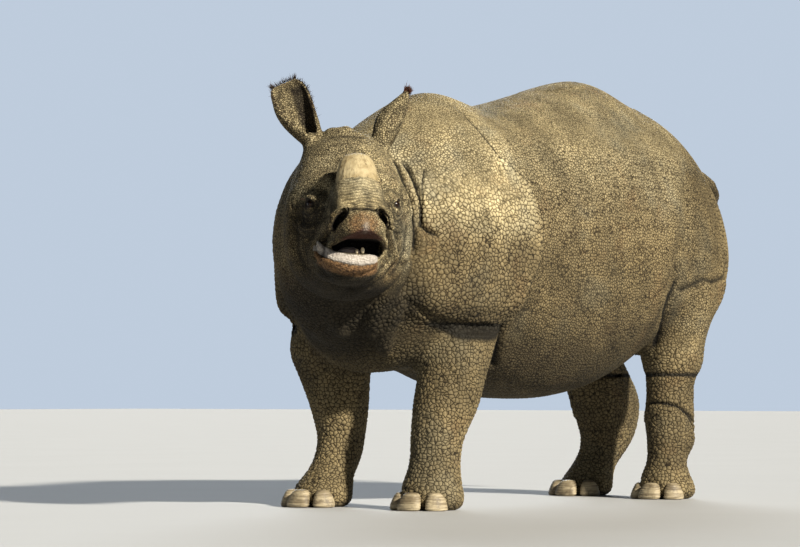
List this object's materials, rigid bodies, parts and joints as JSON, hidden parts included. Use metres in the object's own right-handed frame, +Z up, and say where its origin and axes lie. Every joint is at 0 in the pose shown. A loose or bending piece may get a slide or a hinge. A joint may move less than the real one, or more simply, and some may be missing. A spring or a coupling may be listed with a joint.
{
  "type": "greater one-horned rhinoceros",
  "caption": "Life-size standing one-horned rhinoceros, head turned to its left, mouth slightly open, with plated, pebbled grey-brown hide.",
  "frame": {"origin": "middle of the animal's box on plan, on the floor under its feet", "axes": "+Z up, the body faces -Y, the animal's left side is +X"},
  "size_m": [1.126, 3.2064, 1.762],
  "materials": {
    "hide": "matte",
    "horn": "matte",
    "nail": "matte",
    "eye": "gloss",
    "tongue": "satin",
    "tooth": "satin"
  },
  "bodies": {
    "root": {"head": "hide", "neck": "hide", "shoulders": "hide", "barrel": "hide", "rump": "hide", "tail": "hide", "leg_front_left": "hide", "leg_front_right": "hide", "leg_hind_left": "hide", "leg_hind_right": "hide", "ear_left": "hide", "ear_right": "hide", "horn": "horn", "eye_left": "eye", "eye_right": "eye", "tongue": "tongue", "tooth_1": "tooth", "tooth_2": "tooth", "nail_front_left_1": "nail", "nail_front_left_2": "nail", "nail_front_left_3": "nail", "nail_front_right_1": "nail", "nail_front_right_2": "nail", "nail_front_right_3": "nail", "nail_hind_left_1": "nail", "nail_hind_left_2": "nail", "nail_hind_left_3": "nail", "nail_hind_right_1": "nail", "nail_hind_right_2": "nail", "nail_hind_right_3": "nail"}
  },
  "joints": []
}
